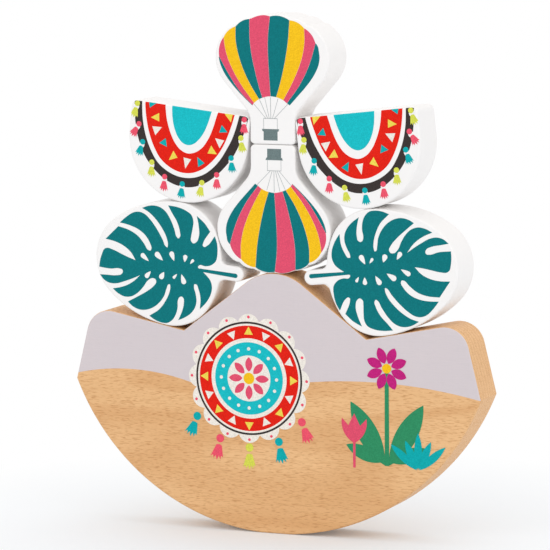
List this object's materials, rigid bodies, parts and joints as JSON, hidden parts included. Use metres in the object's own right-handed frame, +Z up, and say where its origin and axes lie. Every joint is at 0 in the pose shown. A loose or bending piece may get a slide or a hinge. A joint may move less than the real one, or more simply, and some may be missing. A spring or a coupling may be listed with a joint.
{
  "type": "stacking balance game",
  "caption": "Wooden stacking balance game: shaped and painted blocks rest in the notches and on the mound of an arc-edged beech rocker",
  "frame": {"origin": "on the table, under the middle of the rocker and midway through its thickness", "axes": "+Z up, +X to the right as seen from the printed front, the printed front faces -Y"},
  "size_m": [0.24, 0.0276, 0.2866],
  "materials": {
    "rocker_wood": "satin beech with a printed front",
    "leaf_left_paint": "satin white paint with a green print",
    "leaf_right_paint": "satin white paint with a green print",
    "half_round_left_paint": "satin white paint with a banded print",
    "half_round_right_paint": "satin white paint with a banded print",
    "balloon_lower_paint": "satin white paint with a striped print",
    "balloon_upper_paint": "satin white paint with a striped print"
  },
  "bodies": {
    "root": {"rocker_base": "rocker_wood", "leaf_block_left": "leaf_left_paint", "leaf_block_right": "leaf_right_paint", "half_round_block_left": "half_round_left_paint", "half_round_block_right": "half_round_right_paint", "balloon_block_lower": "balloon_lower_paint", "balloon_block_upper": "balloon_upper_paint"}
  },
  "joints": []
}
